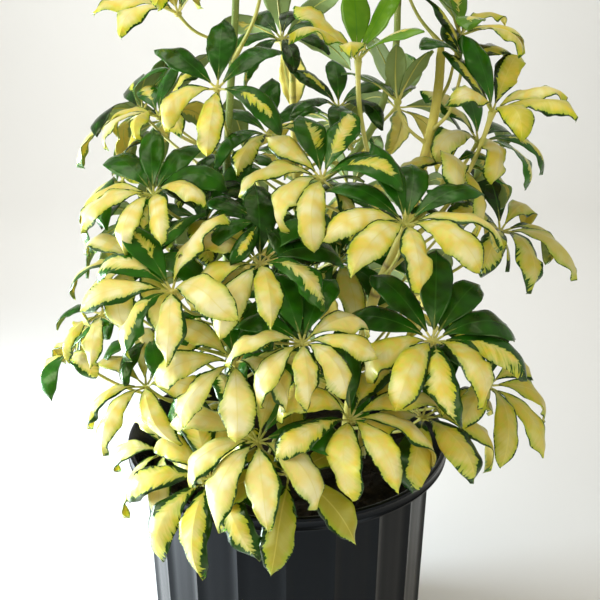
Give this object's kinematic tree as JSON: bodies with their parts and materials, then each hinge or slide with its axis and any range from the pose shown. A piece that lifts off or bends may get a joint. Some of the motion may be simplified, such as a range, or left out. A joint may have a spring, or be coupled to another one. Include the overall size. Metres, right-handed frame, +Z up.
{
  "type": "potted umbrella plant",
  "caption": "Potted dwarf umbrella plant: variegated palmate leaves on woody stems in a black fluted nursery pot.",
  "frame": {"origin": "middle of the pot's flat underside, on which the pot stands", "axes": "+Z up along the pot's axis; the plant's front faces -Y and its right is +X"},
  "size_m": [0.4368, 0.4089, 0.7532],
  "materials": {
    "pot": "satin black moulded plastic",
    "soil": "rough dark potting mix of composted bark",
    "stem": "smooth green-yellow bark",
    "leaf": "waxy leaf, yellow and dark green"
  },
  "bodies": {
    "root": {"pot": "pot", "stem_left": "stem", "stem_right": "stem", "stem_middle": "stem", "stem_back": "stem", "soil": "soil", "leaf_01": "leaf", "leaf_02": "leaf", "leaf_03": "leaf", "leaf_04": "leaf", "leaf_05": "leaf", "leaf_06": "leaf", "leaf_07": "leaf", "leaf_08": "leaf", "leaf_09": "leaf", "leaf_10": "leaf", "leaf_11": "leaf", "leaf_12": "leaf", "leaf_13": "leaf", "leaf_14": "leaf", "leaf_15": "leaf", "leaf_16": "leaf", "leaf_17": "leaf", "leaf_18": "leaf", "leaf_19": "leaf", "leaf_20": "leaf", "leaf_21": "leaf", "leaf_22": "leaf", "leaf_23": "leaf", "leaf_24": "leaf", "leaf_25": "leaf", "leaf_26": "leaf", "leaf_27": "leaf", "leaf_28": "leaf", "leaf_29": "leaf", "leaf_30": "leaf", "leaf_31": "leaf", "leaf_32": "leaf", "leaf_33": "leaf", "leaf_34": "leaf", "leaf_35": "leaf", "leaf_36": "leaf", "leaf_37": "leaf", "leaf_38": "leaf", "leaf_39": "leaf", "leaf_40": "leaf", "leaf_41": "leaf", "leaf_42": "leaf", "leaf_43": "leaf", "leaf_44": "leaf", "leaf_45": "leaf", "leaf_46": "leaf", "leaf_47": "leaf", "leaf_48": "leaf", "leaf_49": "leaf", "leaf_50": "leaf", "leaf_51": "leaf", "leaf_52": "leaf", "leaf_53": "leaf", "leaf_54": "leaf"}
  },
  "joints": []
}
